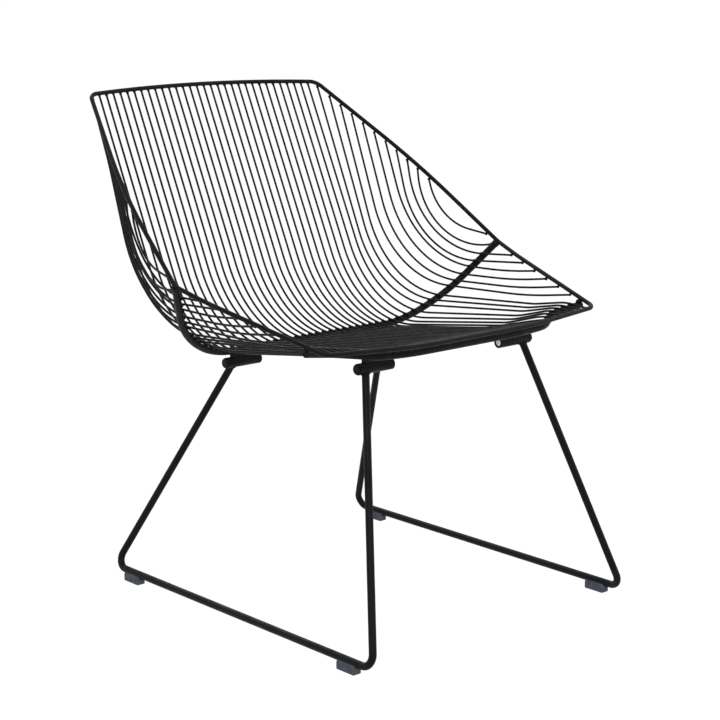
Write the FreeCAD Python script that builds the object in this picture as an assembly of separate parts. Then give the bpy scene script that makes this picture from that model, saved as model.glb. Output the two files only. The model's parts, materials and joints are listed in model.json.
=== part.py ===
"""Wire mesh lounge chair: a wire bucket inside a rod rim, on two bent sled legs.

All sizes are millimetres. +Z is up, the sitter faces -Y, the chair is mirrored
about the plane X = 0 and the feet stand on Z = 0. The side with negative X is
the sitter's right. Points are given with Y measured from the middle between the
front and the rear feet. Pieces are written with Y measured from the middle of
the whole chair.
"""
import math
import os

import FreeCAD
import Part

# Y of the middle of the whole chair, since the back leans out past the rear feet
CHAIR_MIDDLE_Y = 47.8

# Rod and wire diameters
WIRE_D = 3.3
RIM_D = 6.6
CROSS_ROD_D = 11.0
LEG_D = 11.0

# Clearance left between pieces that touch or are welded together
CLEARANCE = 0.3

# Distance from the axis of a cross rod to that of a wire that lies on it
TOUCHING = (CROSS_ROD_D + WIRE_D) / 2 + CLEARANCE

# A corner whose half angle is wider than this is left as a straight run
STRAIGHT_HALF_ANGLE = math.radians(89.98)

# Height of the rim's axis at the middle of the front; bucket and leg tops rise with it
SEAT_HEIGHT = 430.0

# Wires: one on the centre line and mirrored pairs numbered outwards from it
WIRE_PITCH = 14.0
LAST_TOP_WIRE = 15
LAST_FRONT_WIRE = 18
KINK_WIRE = 25
EDGE_WIRE = 26

# Corner points of the bucket have their height measured from the seat height. Those near a
# corner of the rim have their X measured from the last wire that ends on its top or front.
TOP_WIRE_X = LAST_TOP_WIRE * WIRE_PITCH
FRONT_WIRE_X = LAST_FRONT_WIRE * WIRE_PITCH

# Rim: corner points of its left half, read from the top centre round to the front centre
RIM_TOP_CENTER = (0.0, 402.0, 327.0)
RIM_TOP_CORNER = (17.0, 375.5, 316.0)
RIM_SIDE_BOW = (84.5, 196.5, 187.5)
RIM_KINK = (112.5, 35.5, 72.5)
RIM_LOW_BOW = (101.5, -17.5, 56.5)
RIM_FRONT_CORNER = (15.0, -221.0, 6.5)
RIM_FRONT_BOW = (114.0, -236.0, 0.0)

# Bend radius of the rim at each of those points
RIM_TOP_CENTER_R = 1700.0
RIM_TOP_CORNER_R = 20.0
RIM_SIDE_BOW_R = 1060.0
RIM_KINK_R = 26.0
RIM_LOW_BOW_R = 780.0
RIM_FRONT_CORNER_R = 18.0
RIM_FRONT_BOW_R = 600.0

# Rear cross rod: a U in one tilted plane, hung between the kinks of the rim
REAR_ROD_SIDE = (54.5, 97.5, -15.7)
REAR_ROD_SIDE_R = 185.0
REAR_ROD_FLOOR = (-20.5, 126.8, -56.9)
REAR_ROD_FLOOR_R = 135.0

# Front cross rod: follows the front of the rim, set back from it, and rises at both ends
FRONT_ROD_SETBACK = 18.5
FRONT_ROD_TURN_INSIDE_CORNER = 102.0
FRONT_ROD_TURN_R = 50.0
FRONT_ROD_RISE = (-34.0, -181.0, -4.0)
FRONT_ROD_RISE_R = 40.0
FRONT_ROD_END_FROM_KINK = 236.0
FRONT_ROD_END_DROP = 9.6

# Main bend of the wires, and how steeply they lean back above it
WIRE_BEND_R = 176.0
BACK_ANGLE = 64.2
BACK_ANGLE_STEP = 1.5
HIGHEST_BEND = -20.0
SIDE_BACK_ANGLE = 70.0
LAST_WIRES_ANGLE_STEP = 2.6
LAST_WIRES_BEND_R = 155.0
LAST_WIRES_LEAN_STEP = 4.5

# Second, very slight bend: its share of the way to the front and its rise over the straight
LAST_TWICE_BENT_WIRE = 22
SAG_SHARE = 0.75
SAG_RISE = -0.022
SAG_BEND_R = 700.0

# Wires near the front corners sag less and are also bent over the rising end of the front rod
FIRST_CREST_WIRE = 12
SAG_FADE = 0.003
CREST_SAG_BEND_R = 150.0
CREST_SHARE = 0.6
CREST_BEND_R = 105.0
HIGHEST_CREST = 22.5

# Where the outer wires leave the side of the rim, measured along it from the top corner
SIDE_START_OFFSET = 2.0
SIDE_START_STEP = 25.6

# Where they come back to the rim, measured along it from the kink
SIDE_END_OFFSET = 57.0
SIDE_END_STEP = 33.0

# The two outermost wires end beside the kink, the first of them on the rear cross rod
KINK_WIRE_END = 4.3
KINK_WIRE_ANGLE = 85.5
KINK_WIRE_DROP = 44.6
KINK_WIRE_BEND_R = 119.0
EDGE_WIRE_END = -14.3
EDGE_WIRE_ANGLE = 76.1
EDGE_WIRE_DROP = -15.8
EDGE_WIRE_BEND_R = 97.0

# Sled legs: corner at the floor and the points where the axes meet the bracket sleeves
LEG_FLOOR_X = 254.5
LEG_FLOOR_Y = 301.5
LEG_AXIS_Z = 15.8
LEG_BEND_R = 16.0
FRONT_LEG_TOP = (155.7, -176.0, -33.6)
REAR_LEG_TOP = (151.7, 125.0, -73.6)

# Bracket sleeves, their bolts, washers and end caps; all turned about a line along X
SLEEVE_D = 16.5
SLEEVE_LENGTH = 64.0
SLEEVE_PAST_LEG = 15.0
BOLT_D = 6.0
BOLT_HEAD_D = 9.4
BOLT_HEAD_LENGTH = 6.0
BOLT_SOCKET_FLATS = 5.0
BOLT_SOCKET_DEPTH = 3.0
BOLT_RECESS = 1.0
BOLT_LENGTH = 46.0
WASHER_THICKNESS = 1.2
COLLAR_LENGTH = 9.0
COLLAR_CHAMFER = 0.6
CAP_STEM_D = 9.4
CAP_STEM_LENGTH = 7.0
CAP_D = 15.0
CAP_THICKNESS = 2.5

# Saddles: short blocks that carry the seat on the sleeves
SADDLE_LENGTH = 48.0
SADDLE_WIDTH = 10.0
SADDLE_FROM_INNER_END = 4.0
REAR_SADDLE_BELOW_ROD_AXIS = 1.5

# Feet: soft glides pushed up under the floor rods
FOOT_LENGTH = 37.0
FOOT_WIDTH = 14.5
FOOT_HEIGHT = 14.0
FOOT_FROM_CORNER = 31.5
FOOT_EDGE_R = 1.5


def bucket_point(point, wire_x=0.0):
    """Place of a bucket point whose X is measured from a wire and whose Z from the seat."""
    x, y, z = point
    return FreeCAD.Vector(wire_x + x, y, SEAT_HEIGHT + z)


def mirrored(point):
    """Return the point on the other side of the chair."""
    return FreeCAD.Vector(-point.x, point.y, point.z)


def bent_path(points, radii, closed=False):
    """Edges of a path through corner points, each inner corner rounded by a tangent arc."""
    count = len(points)
    corners = range(count) if closed else range(1, count - 1)
    edges = []
    last = None if closed else points[0]
    for number, i in enumerate(corners):
        corner = points[i]
        back = (points[i - 1] - corner).normalize()
        ahead = (points[(i + 1) % count] - corner).normalize()
        half_angle = back.getAngle(ahead) / 2
        if half_angle > STRAIGHT_HALF_ANGLE:
            continue
        reach = radii[number] / math.tan(half_angle)
        start = corner + back * reach
        end = corner + ahead * reach
        bisector = (back + ahead).normalize()
        middle = corner + bisector * (radii[number] / math.sin(half_angle) - radii[number])
        if last and last.distanceToPoint(start) > 0.01:
            edges.append(Part.LineSegment(last, start).toShape())
        edges.append(Part.Arc(start, middle, end).toShape())
        last = end
    final = edges[0].valueAt(edges[0].FirstParameter) if closed else points[-1]
    if last.distanceToPoint(final) > 0.01:
        edges.append(Part.LineSegment(last, final).toShape())
    return edges


def rod_along(edges, diameter):
    """Solid round rod whose centre line is the given chain of lines and arcs."""
    start = edges[0].valueAt(edges[0].FirstParameter)
    direction = edges[0].tangentAt(edges[0].FirstParameter)
    disc = Part.Face(Part.Wire(Part.makeCircle(diameter / 2, start, direction)))
    return Part.Wire(edges).makePipe(disc)


def point_along(edges, distance):
    """Point at a distance along a chain of edges, measured from its start."""
    for edge in edges:
        if distance <= edge.Length:
            return edge.valueAt(edge.getParameterByLength(distance))
        distance -= edge.Length
    return edges[-1].valueAt(edges[-1].LastParameter)


def distance_to(edges, target):
    """Distance along a chain of edges at which it passes nearest to the target point."""
    travelled = 0.0
    nearest = math.inf
    found = 0.0
    for edge in edges:
        gap, pairs, _ = edge.distToShape(Part.Vertex(target))
        span = edge.LastParameter - edge.FirstParameter
        share = (edge.Curve.parameter(pairs[0][0]) - edge.FirstParameter) / span
        if gap < nearest:
            nearest = gap
            found = travelled + share * edge.Length
        travelled += edge.Length
    return found


def point_at_x(edges, x, low, high):
    """Point of a chain with a given X, sought between two distances along it."""
    rising = point_along(edges, high).x > point_along(edges, low).x
    while high - low > 0.001:
        middle = (low + high) / 2
        if (point_along(edges, middle).x < x) == rising:
            low = middle
        else:
            high = middle
    return point_along(edges, low)


def gap_between(edges, other_edges):
    """Shortest distance between two chains of edges."""
    return Part.Wire(edges).distToShape(Part.Wire(other_edges))[0]


def largest_solid(shape):
    """Keep the biggest piece that a cut has left."""
    return max(shape.Solids, key=lambda solid: solid.Volume)


def other_side(shape):
    """Mirror image of a piece on the other side of the chair."""
    return shape.mirror(FreeCAD.Vector(0, 0, 0), FreeCAD.Vector(1, 0, 0))


def turned(radius, x_from, x_to, axis_point):
    """Cylinder about the line along X through the axis point."""
    base = FreeCAD.Vector(min(x_from, x_to), axis_point.y, axis_point.z)
    return Part.makeCylinder(radius, abs(x_to - x_from), base, FreeCAD.Vector(1, 0, 0))


def rim_half():
    """Corner points of the left half of the rim from top to front, with their bend radii."""
    return [
        (bucket_point(RIM_TOP_CENTER), RIM_TOP_CENTER_R),
        (bucket_point(RIM_TOP_CORNER, TOP_WIRE_X), RIM_TOP_CORNER_R),
        (bucket_point(RIM_SIDE_BOW, TOP_WIRE_X), RIM_SIDE_BOW_R),
        (bucket_point(RIM_KINK, TOP_WIRE_X), RIM_KINK_R),
        (bucket_point(RIM_LOW_BOW, TOP_WIRE_X), RIM_LOW_BOW_R),
        (bucket_point(RIM_FRONT_CORNER, FRONT_WIRE_X), RIM_FRONT_CORNER_R),
        (bucket_point(RIM_FRONT_BOW), RIM_FRONT_BOW_R),
    ]


def rim_edges():
    """Centre line of the rim, a closed chain."""
    half = rim_half()
    ring = half + [(mirrored(point), radius) for point, radius in reversed(half[1:])]
    return bent_path([point for point, _ in ring], [radius for _, radius in ring], closed=True)


class RimSide:
    """Left side of the rim, run along from the top past the kink to the front."""

    def __init__(self):
        half = rim_half()
        points = [point for point, _ in half]
        radii = [radius for _, radius in half]
        points = [mirrored(points[1])] + points + [mirrored(points[-1])]
        self.edges = bent_path(points, radii)
        self.length = sum(edge.Length for edge in self.edges)
        self.top_corner = distance_to(self.edges, bucket_point(RIM_TOP_CORNER, TOP_WIRE_X))
        self.kink = distance_to(self.edges, bucket_point(RIM_KINK, TOP_WIRE_X))
        corner = bucket_point(RIM_FRONT_CORNER, FRONT_WIRE_X)
        self.front_corner = distance_to(self.edges, corner)

    def on_top(self, x):
        """Point of the top run with a given X."""
        return point_at_x(self.edges, x, 0.0, self.top_corner)

    def on_front(self, x):
        """Point of the front run with a given X."""
        return point_at_x(self.edges, x, self.front_corner, self.length)

    def past_corner(self, distance):
        """Point a distance down the side from the top corner."""
        return point_along(self.edges, self.top_corner + distance)

    def past_kink(self, distance):
        """Point a distance towards the front from the kink."""
        return point_along(self.edges, self.kink + distance)


def rear_rod_edges():
    """Centre line of the rear cross rod, which butts against the rim at both kinks."""
    corners = (RIM_KINK, REAR_ROD_SIDE, REAR_ROD_FLOOR)
    half = [bucket_point(corner, TOP_WIRE_X) for corner in corners]
    radii = [REAR_ROD_SIDE_R, REAR_ROD_FLOOR_R]
    other_half = [mirrored(point) for point in reversed(half)]
    return bent_path(half + other_half, radii + radii[::-1])


def setback(rim, point, direction):
    """Length to leave off the end of a wire so that its flat face just clears the rim."""
    vertex = Part.Vertex(point)
    nearest = min(rim, key=lambda edge: edge.distToShape(vertex)[0])
    tangent = nearest.tangentAt(nearest.Curve.parameter(point))
    cosine = abs(tangent.dot(direction))
    sine = math.sqrt(1 - cosine ** 2)
    return (RIM_D / 2 + CLEARANCE + WIRE_D / 2 * cosine) / sine


def cut_to_rim(corners, rim):
    """Corner points of a wire with both ends moved back from the middle of the rim."""
    first = (corners[1] - corners[0]).normalize()
    last = (corners[-2] - corners[-1]).normalize()
    start = corners[0] + first * setback(rim, corners[0], first)
    end = corners[-1] + last * setback(rim, corners[-1], last)
    return [start] + corners[1:-1] + [end]


def wire_corners(upper, front, back_angle, drop, second_bend=None, lean=0.0):
    """Corner points of a wire whose main bend lies a given drop below its front end.

    The lean is how far the bend is moved inwards from the upright plane of the two ends.
    """
    forward = FreeCAD.Vector(front.x - upper.x, front.y - upper.y, 0)
    run = (upper.z - front.z + drop) / math.tan(math.radians(back_angle))
    bend = upper + forward.normalize() * run
    bend.z = front.z - drop
    bend.x -= lean
    if second_bend is None:
        return [upper, bend, front]
    share, rise = second_bend
    second = bend + (front - bend) * share
    second.z += (front - bend).Length * rise
    return [upper, bend, second, front]


def last_clear(is_clear, start, step):
    """Last number, by whole steps from the start and then by halves, that is clear of a rod."""
    clear = start
    while is_clear(clear + step):
        clear += step
    blocked = clear + step
    while abs(blocked - clear) > 0.005:
        middle = (clear + blocked) / 2
        if is_clear(middle):
            clear = middle
        else:
            blocked = middle
    return clear


def lie_on_rear_rod(upper, front, back_angle, second_bend, lean, radii, rod):
    """Corner points of a wire let down until it lies on the rear cross rod."""
    def corners_at(drop):
        return wire_corners(upper, front, back_angle, drop, second_bend, lean)

    def is_clear(drop):
        return gap_between(bent_path(corners_at(drop), radii), rod) > TOUCHING

    return corners_at(last_clear(is_clear, HIGHEST_BEND, 4.0))


def bend_over_front_rod(corners, radii, rod):
    """Corner points of a wire with one more bend, so that it lies on the front cross rod."""
    sag, front = corners[-2:]

    def corners_at(rise):
        crest = sag + (front - sag) * CREST_SHARE
        crest.z += rise
        return corners[:-1] + [crest, front]

    def is_clear(rise):
        return gap_between(bent_path(corners_at(rise), radii), rod) > TOUCHING

    return corners_at(last_clear(is_clear, HIGHEST_CREST, -1.0))


def wire_edges(number, side, rim, rear_rod, front_rod=None):
    """Centre line of one wire, counted outwards from the one in the middle."""
    outwards = number - LAST_TOP_WIRE
    inwards = KINK_WIRE - 1 - number
    if number <= LAST_TOP_WIRE:
        upper = side.on_top(number * WIRE_PITCH)
    else:
        upper = side.past_corner(SIDE_START_OFFSET + SIDE_START_STEP * (outwards - 1))
    if number == EDGE_WIRE:
        front = side.past_kink(EDGE_WIRE_END)
        corners = wire_corners(upper, front, EDGE_WIRE_ANGLE, EDGE_WIRE_DROP)
        return bent_path(cut_to_rim(corners, rim), [EDGE_WIRE_BEND_R])
    if number == KINK_WIRE:
        front = side.past_kink(KINK_WIRE_END)
        corners = wire_corners(upper, front, KINK_WIRE_ANGLE, KINK_WIRE_DROP)
        return bent_path(cut_to_rim(corners, rim), [KINK_WIRE_BEND_R])
    if number <= LAST_FRONT_WIRE:
        front = side.on_front(number * WIRE_PITCH)
    else:
        front = side.past_kink(SIDE_END_OFFSET + SIDE_END_STEP * inwards)
    back_angle = min(BACK_ANGLE + BACK_ANGLE_STEP * max(0, outwards), SIDE_BACK_ANGLE)
    past_twice_bent = max(0, number - LAST_TWICE_BENT_WIRE)
    back_angle += LAST_WIRES_ANGLE_STEP * past_twice_bent
    lean = LAST_WIRES_LEAN_STEP * past_twice_bent
    second_bend = (SAG_SHARE, SAG_RISE)
    radii = [WIRE_BEND_R, SAG_BEND_R]
    crested = FIRST_CREST_WIRE <= number <= LAST_FRONT_WIRE
    if crested:
        second_bend = (SAG_SHARE, SAG_RISE + SAG_FADE * (number - FIRST_CREST_WIRE + 1))
        radii = [WIRE_BEND_R, CREST_SAG_BEND_R]
    elif past_twice_bent:
        second_bend = None
        radii = [LAST_WIRES_BEND_R]
    corners = lie_on_rear_rod(upper, front, back_angle, second_bend, lean, radii, rear_rod)
    if crested:
        radii.append(CREST_BEND_R)
        corners = bend_over_front_rod(corners, radii, front_rod)
    return bent_path(cut_to_rim(corners, rim), radii)


def front_rod_edges(side, middle_wire):
    """Centre line of the front cross rod, which runs under the wires behind the rim."""
    along = middle_wire[-1].tangentAt(middle_wire[-1].LastParameter)
    down = FreeCAD.Vector(0, -along.z, along.y)
    under = (CROSS_ROD_D + WIRE_D) / 2 + 3 * CLEARANCE
    shift = down * under - along * FRONT_ROD_SETBACK
    bow = bucket_point(RIM_FRONT_BOW)
    corner = bucket_point(RIM_FRONT_CORNER, FRONT_WIRE_X)
    rise = bucket_point(FRONT_ROD_RISE, FRONT_WIRE_X)
    share = 1 - FRONT_ROD_TURN_INSIDE_CORNER / (corner.x - bow.x)
    turn = bow + (corner - bow) * share + shift
    end = side.past_kink(FRONT_ROD_END_FROM_KINK)
    end.z -= FRONT_ROD_END_DROP
    points = [end, rise, turn, bow + shift]
    points += [mirrored(point) for point in reversed(points)]
    radii = [FRONT_ROD_RISE_R, FRONT_ROD_TURN_R, RIM_FRONT_BOW_R]
    return bent_path(points, radii + radii[::-1])


def leg_edges():
    """Centre line of the left sled leg, from the front sleeve round to the rear one."""
    points = [
        bucket_point(FRONT_LEG_TOP),
        FreeCAD.Vector(LEG_FLOOR_X, -LEG_FLOOR_Y, LEG_AXIS_Z),
        FreeCAD.Vector(LEG_FLOOR_X, LEG_FLOOR_Y, LEG_AXIS_Z),
        bucket_point(REAR_LEG_TOP),
    ]
    return bent_path(points, [LEG_BEND_R, LEG_BEND_R])


class Bracket:
    """Sleeve with its collar, bolt, washer and end cap, on one leg top of the left leg."""

    def __init__(self, leg_top):
        self.axis = bucket_point(leg_top)
        self.outer_x = self.axis.x + SLEEVE_PAST_LEG
        self.inner_x = self.outer_x - SLEEVE_LENGTH
        self.collar_x = self.inner_x + COLLAR_LENGTH
        self.head_x = self.inner_x + BOLT_RECESS + BOLT_HEAD_LENGTH
        self.floor_x = self.head_x + WASHER_THICKNESS

    def clearance(self):
        """Cylinder that other pieces are cut back to."""
        radius = SLEEVE_D / 2 + CLEARANCE
        return turned(radius, self.inner_x - 1, self.outer_x + 1, self.axis)

    def sleeve(self):
        """Tube on the leg top, bored for the bolt and for the cap."""
        tube = turned(SLEEVE_D / 2, self.collar_x + CLEARANCE, self.outer_x, self.axis)
        bore = turned(BOLT_D / 2 + CLEARANCE, self.inner_x, self.outer_x, self.axis)
        cap_bore = turned(CAP_STEM_D / 2 + CLEARANCE,
                          self.outer_x - CAP_STEM_LENGTH - CLEARANCE, self.outer_x, self.axis)
        return tube.cut(bore).cut(cap_bore)

    def collar(self):
        """Ring at the inner end that the bolt head pulls against."""
        ring = turned(SLEEVE_D / 2, self.inner_x, self.collar_x, self.axis)
        rims = [edge for edge in ring.Edges if isinstance(edge.Curve, Part.Circle)]
        ring = ring.makeChamfer(COLLAR_CHAMFER, rims)
        bore = turned(BOLT_D / 2 + CLEARANCE, self.inner_x, self.collar_x, self.axis)
        pocket = turned(BOLT_HEAD_D / 2 + CLEARANCE, self.inner_x, self.floor_x, self.axis)
        return ring.cut(bore).cut(pocket)

    def bolt(self):
        """Socket head bolt lying in the collar and the sleeve."""
        start = self.inner_x + BOLT_RECESS
        head = turned(BOLT_HEAD_D / 2, start, self.head_x, self.axis)
        shank = turned(BOLT_D / 2, self.head_x, self.head_x + BOLT_LENGTH, self.axis)
        radius = BOLT_SOCKET_FLATS / math.sqrt(3)
        ring = []
        for i in range(7):
            angle = math.radians(60 * i)
            offset = FreeCAD.Vector(0, radius * math.cos(angle), radius * math.sin(angle))
            ring.append(FreeCAD.Vector(start, self.axis.y, self.axis.z) + offset)
        socket = Part.Face(Part.makePolygon(ring)).extrude(FreeCAD.Vector(BOLT_SOCKET_DEPTH, 0, 0))
        return head.fuse(shank).cut(socket)

    def washer(self):
        """Washer between the bolt head and the floor of the collar."""
        disc = turned(BOLT_HEAD_D / 2, self.head_x, self.floor_x, self.axis)
        hole = turned(BOLT_D / 2 + CLEARANCE, self.head_x, self.floor_x, self.axis)
        return disc.cut(hole)

    def cap(self):
        """Domed cap pushed into the outer end of the sleeve."""
        stem = turned(CAP_STEM_D / 2, self.outer_x - CAP_STEM_LENGTH, self.outer_x, self.axis)
        head = turned(CAP_D / 2, self.outer_x, self.outer_x + CAP_THICKNESS, self.axis)
        outer_edges = [edge for edge in head.Edges
                       if edge.BoundBox.XMin > self.outer_x + CAP_THICKNESS - 0.1]
        return head.makeFillet(CAP_THICKNESS * 0.6, outer_edges).fuse(stem).removeSplitter()

    def saddle(self, profile, cutters):
        """Block over the sleeve with a side profile of (Y, Z) points, cut to fit its neighbours."""
        start = self.inner_x + SADDLE_FROM_INNER_END
        points = [FreeCAD.Vector(start, y, z) for y, z in profile + profile[:1]]
        block = Part.Face(Part.makePolygon(points)).extrude(FreeCAD.Vector(SADDLE_LENGTH, 0, 0))
        for cutter in cutters + [self.clearance()]:
            block = block.cut(cutter)
        return largest_solid(block)


def height_at(edges, y):
    """Height of the front straight of a wire at a given Y."""
    start = edges[-1].valueAt(edges[-1].FirstParameter)
    end = edges[-1].valueAt(edges[-1].LastParameter)
    return start.z + (end.z - start.z) * (y - start.y) / (end.y - start.y)


def front_saddle(bracket, wires):
    """Saddle of a front bracket, reaching up to the undersides of the wires above it."""
    start = bracket.inner_x + SADDLE_FROM_INNER_END
    above = [wire for wire in wires
             if start - WIRE_D < wire[-1].valueAt(0).x < start + SADDLE_LENGTH + WIRE_D]
    rear_y = bracket.axis.y + SADDLE_WIDTH / 2
    front_y = bracket.axis.y - SADDLE_WIDTH / 2
    under = WIRE_D / 2 + CLEARANCE
    rear_z = min(height_at(wire, rear_y) for wire in above) - under
    front_z = min(height_at(wire, front_y) for wire in above) - under
    base_z = bracket.axis.z
    profile = [(front_y, base_z), (rear_y, base_z), (rear_y, rear_z), (front_y, front_z)]
    return bracket.saddle(profile, [])


def rear_saddle(bracket, rod):
    """Saddle of a rear bracket, hollowed on top to the cross rod it carries."""
    rear_y = bracket.axis.y + SADDLE_WIDTH / 2
    front_y = bracket.axis.y - SADDLE_WIDTH / 2
    base_z = bracket.axis.z
    top_z = bucket_point(REAR_ROD_FLOOR).z - REAR_SADDLE_BELOW_ROD_AXIS
    profile = [(front_y, base_z), (rear_y, base_z), (rear_y, top_z), (front_y, top_z)]
    cutters = [rod_along([edge], CROSS_ROD_D + 2 * CLEARANCE) for edge in rod]
    return bracket.saddle(profile, cutters)


def foot(at_front, leg):
    """Glide under the left floor rod, grooved to the rod."""
    near = LEG_FLOOR_Y - FOOT_FROM_CORNER - FOOT_LENGTH
    start_y = -LEG_FLOOR_Y + FOOT_FROM_CORNER if at_front else near
    corner = FreeCAD.Vector(LEG_FLOOR_X - FOOT_WIDTH / 2, start_y, 0)
    block = Part.makeBox(FOOT_WIDTH, FOOT_LENGTH, FOOT_HEIGHT, corner)
    uprights = [edge for edge in block.Edges if edge.BoundBox.ZLength > FOOT_HEIGHT / 2]
    block = block.makeFillet(FOOT_EDGE_R, uprights)
    return largest_solid(block.cut(rod_along(leg, LEG_D + 2 * CLEARANCE)))


def save(name, *solids):
    """Write one node, made of one or more separate solids."""
    placed = [solid.translated(FreeCAD.Vector(0, -CHAIR_MIDDLE_Y, 0)) for solid in solids]
    shape = placed[0] if len(placed) == 1 else Part.makeCompound(placed)
    shape.exportStep("parts/" + name + ".step")


def save_pair(name, solid):
    """Write a left piece and its mirror image as two nodes."""
    save(name + "_left", solid)
    save(name + "_right", other_side(solid))


def save_four(name, front, rear):
    """Write a front and a rear piece and their mirror images as one node."""
    save(name, front, rear, other_side(front), other_side(rear))


def main():
    """Build every piece and write it."""
    os.makedirs("parts", exist_ok=True)

    side = RimSide()
    rim = rim_edges()
    rim_clearance = rod_along(rim, RIM_D + 2 * CLEARANCE)
    save("seat_rim", rod_along(rim, RIM_D))

    rear_rod = rear_rod_edges()
    rear_rod_clearance = rod_along(rear_rod, CROSS_ROD_D + 2 * CLEARANCE)
    front_rod = front_rod_edges(side, wire_edges(0, side, rim, rear_rod))
    wires = [wire_edges(number, side, rim, rear_rod, front_rod)
             for number in range(EDGE_WIRE + 1)]
    for number, edges in enumerate(wires):
        wire = rod_along(edges, WIRE_D)
        if number == KINK_WIRE:
            wire = largest_solid(wire.cut(rear_rod_clearance))
        if number == 0:
            save("wire_middle", wire)
        else:
            save("wire_pair_%02d" % number, wire, other_side(wire))

    for name, edges in (("rear_cross_rod", rear_rod), ("front_cross_rod", front_rod)):
        save(name, largest_solid(rod_along(edges, CROSS_ROD_D).cut(rim_clearance)))

    front = Bracket(FRONT_LEG_TOP)
    rear = Bracket(REAR_LEG_TOP)
    leg = leg_edges()
    leg_solid = rod_along(leg, LEG_D).cut(front.clearance()).cut(rear.clearance())
    save_pair("sled_leg", largest_solid(leg_solid))

    save_pair("sleeve_front", front.sleeve())
    save_pair("sleeve_rear", rear.sleeve())
    save_pair("saddle_front", front_saddle(front, wires))
    save_pair("saddle_rear", rear_saddle(rear, rear_rod))
    save_pair("foot_front", foot(True, leg))
    save_pair("foot_rear", foot(False, leg))
    save_four("sleeve_collars", front.collar(), rear.collar())
    save_four("bracket_bolts", front.bolt(), rear.bolt())
    save_four("bolt_washers", front.washer(), rear.washer())
    save_four("sleeve_caps", front.cap(), rear.cap())


main()
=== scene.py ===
"""Looks of a wire mesh lounge chair: powder-coated rod and wire, welds, zinc bolts, glides.

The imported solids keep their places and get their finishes. What they leave out is added
here as surfaces worked out with numpy: the weld beads and the moulded glides under the
sled legs. Everything is in metres; +Z is up and the sitter faces -Y.
"""
import json
import logging
import math
from collections.abc import Iterable
from dataclasses import dataclass, field
from enum import Enum

import bpy
import numpy as np
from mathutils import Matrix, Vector
from mathutils.bvhtree import BVHTree


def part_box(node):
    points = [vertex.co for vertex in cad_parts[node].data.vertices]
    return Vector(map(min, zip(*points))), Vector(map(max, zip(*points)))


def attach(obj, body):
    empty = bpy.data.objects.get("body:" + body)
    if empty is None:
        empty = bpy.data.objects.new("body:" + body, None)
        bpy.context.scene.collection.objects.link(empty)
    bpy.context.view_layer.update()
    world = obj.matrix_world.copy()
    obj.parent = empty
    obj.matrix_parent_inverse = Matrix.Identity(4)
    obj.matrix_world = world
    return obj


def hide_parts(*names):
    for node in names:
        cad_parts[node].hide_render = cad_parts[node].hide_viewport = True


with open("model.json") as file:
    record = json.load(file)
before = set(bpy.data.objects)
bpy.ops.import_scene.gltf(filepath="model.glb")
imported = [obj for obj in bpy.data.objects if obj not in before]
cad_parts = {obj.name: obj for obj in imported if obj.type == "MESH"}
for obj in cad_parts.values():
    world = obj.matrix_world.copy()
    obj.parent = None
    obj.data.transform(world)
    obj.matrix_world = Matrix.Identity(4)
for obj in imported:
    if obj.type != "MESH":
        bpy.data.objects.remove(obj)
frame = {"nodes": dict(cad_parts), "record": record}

Array = np.ndarray
log = logging.getLogger("wire_chair")

MM = 0.001
# The solids are measured from the middle of the whole chair, the CAD drawing from the feet
SHIFT_Y = -47.8 * MM

# Directions in which the two ends of a wire lie furthest out
TO_FRONT = np.array([0.0, -1.0, 0.0])
TO_TOP = np.array([0.0, 0.3, 1.0])

# Band of a noise's values over which the tone, or the gloss, runs from end to end
TONE_BAND = (0.38, 0.64)
GLOSS_BAND = (0.35, 0.65)


class Slot(Enum):
    """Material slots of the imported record."""

    STEEL = "black_powder_coat"
    ZINC = "zinc_steel"
    PLASTIC = "cap_plastic"
    RUBBER = "foot_rubber"


class Side(Enum):
    """Sides of the chair, as the sign of X."""

    LEFT = 1.0
    RIGHT = -1.0

    @property
    def mirror(self) -> Array:
        """Factors that take a place on the left to this side."""
        return np.array([self.value, 1.0, 1.0])


def placed(point_mm: Array, side: Side = Side.LEFT) -> Array:
    """Turn drawing places of the left side, in mm, into metres on either side."""
    return point_mm * side.mirror * MM + np.array([0.0, SHIFT_Y, 0.0])


# Colours and nodes


def linear(hex_colour: str) -> tuple[float, float, float, float]:
    """Turn an sRGB hex value into the linear colour that shaders expect.

    Args:
        hex_colour: Colour written as #rrggbb.

    Returns:
        Linear red, green, blue and an alpha of one.
    """
    channels = [int(hex_colour[i:i + 2], 16) / 255 for i in (1, 3, 5)]
    red, green, blue = (
        c / 12.92 if c <= 0.04045 else ((c + 0.055) / 1.055) ** 2.4 for c in channels
    )
    return red, green, blue, 1.0


def add_node(
    tree: bpy.types.NodeTree,
    kind: str,
    values: dict | None = None,
    links: dict | None = None,
    **settings: object,
) -> bpy.types.Node:
    """Add one shader node with its settings, socket values and links.

    Args:
        tree: Node tree to add to.
        kind: Blender's type name of the node.
        values: Input socket name or number to a fixed value.
        links: Input socket name or number to the output socket that feeds it.
        settings: Properties of the node itself.

    Returns:
        The new node.
    """
    node = tree.nodes.new(kind)
    for name, value in settings.items():
        setattr(node, name, value)
    for name, value in (values or {}).items():
        node.inputs[name].default_value = value
    for name, socket in (links or {}).items():
        tree.links.new(socket, node.inputs[name])
    return node


def empty_material(name: str) -> bpy.types.Material:
    """Make a node material with no nodes in it.

    Args:
        name: Name of the material.

    Returns:
        The material.
    """
    material = bpy.data.materials.new(name)
    material.use_nodes = True
    material.node_tree.nodes.clear()
    return material


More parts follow.
